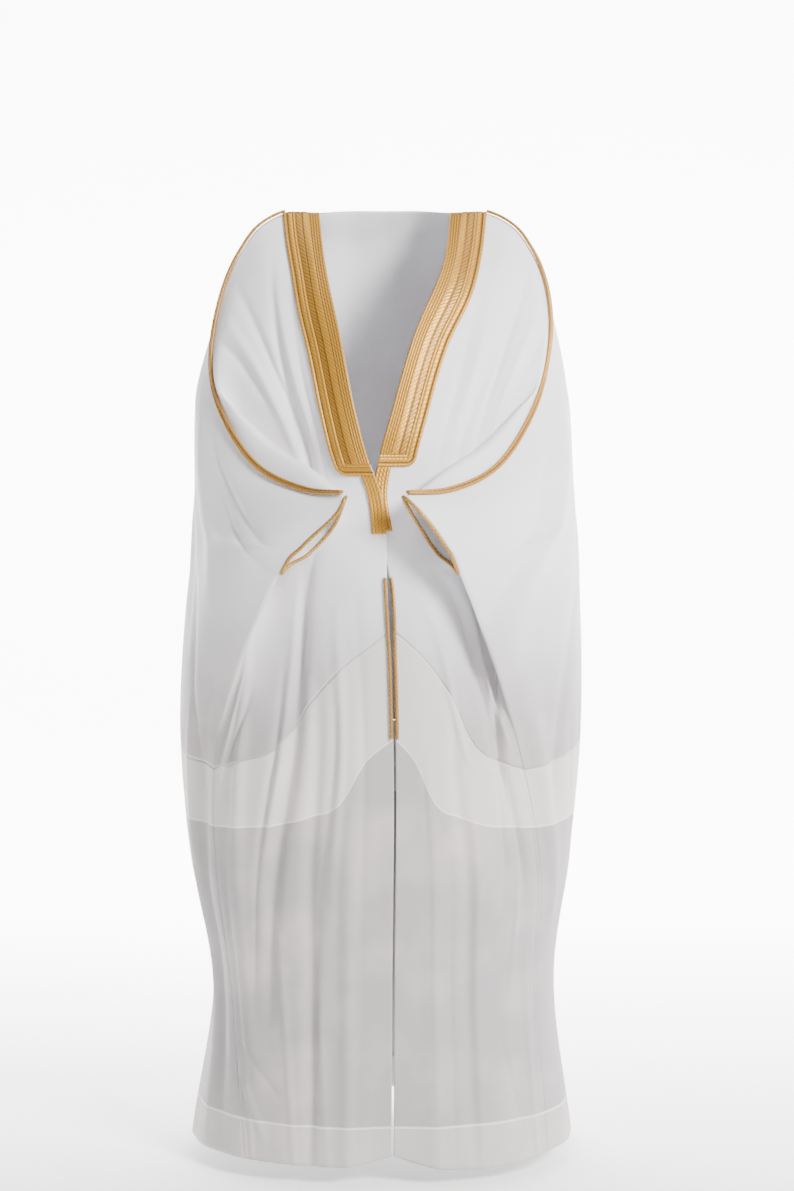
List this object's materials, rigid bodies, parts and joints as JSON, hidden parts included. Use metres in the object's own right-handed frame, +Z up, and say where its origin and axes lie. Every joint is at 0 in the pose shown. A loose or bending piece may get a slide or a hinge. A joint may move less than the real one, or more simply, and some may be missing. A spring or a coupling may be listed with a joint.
{
  "type": "bisht cloak",
  "caption": "Man's long open ceremonial cloak of thin white cloth with gold bands and cords, shaped as it hangs when worn with the hands folded in front.",
  "frame": {"origin": "midway between the shoulders, at the height where the cloak rests on them (1.45 m above the front hem)", "axes": "+Z up along the hanging cloak; -Y to the front, where the cloak opens; +X to the wearer's left"},
  "size_m": [0.6299, 0.4464, 1.4724],
  "materials": {
    "white_cloth": "thin matt white summer-weight wool, a little see-through",
    "gold_thread": "dull gold metal-thread embroidery and braid"
  },
  "bodies": {
    "root": {"upper_front_right": "white_cloth", "upper_front_left": "white_cloth", "upper_back": "white_cloth", "lower_front_right": "white_cloth", "lower_front_left": "white_cloth", "lower_back": "white_cloth", "waist_tuck_front_right": "white_cloth", "waist_tuck_front_left": "white_cloth", "waist_tuck_back": "white_cloth", "hem_turn_front_right": "white_cloth", "hem_turn_front_left": "white_cloth", "hem_turn_back": "white_cloth", "band_front_right": "gold_thread", "band_front_left": "gold_thread", "band_tail_right": "gold_thread", "band_tail_left": "gold_thread", "arm_cord_right": "gold_thread", "arm_cord_left": "gold_thread", "cuff_cord_right": "gold_thread", "cuff_cord_left": "gold_thread", "edge_cord_right": "gold_thread", "edge_cord_left": "gold_thread", "band_neck": "gold_thread"}
  },
  "joints": []
}
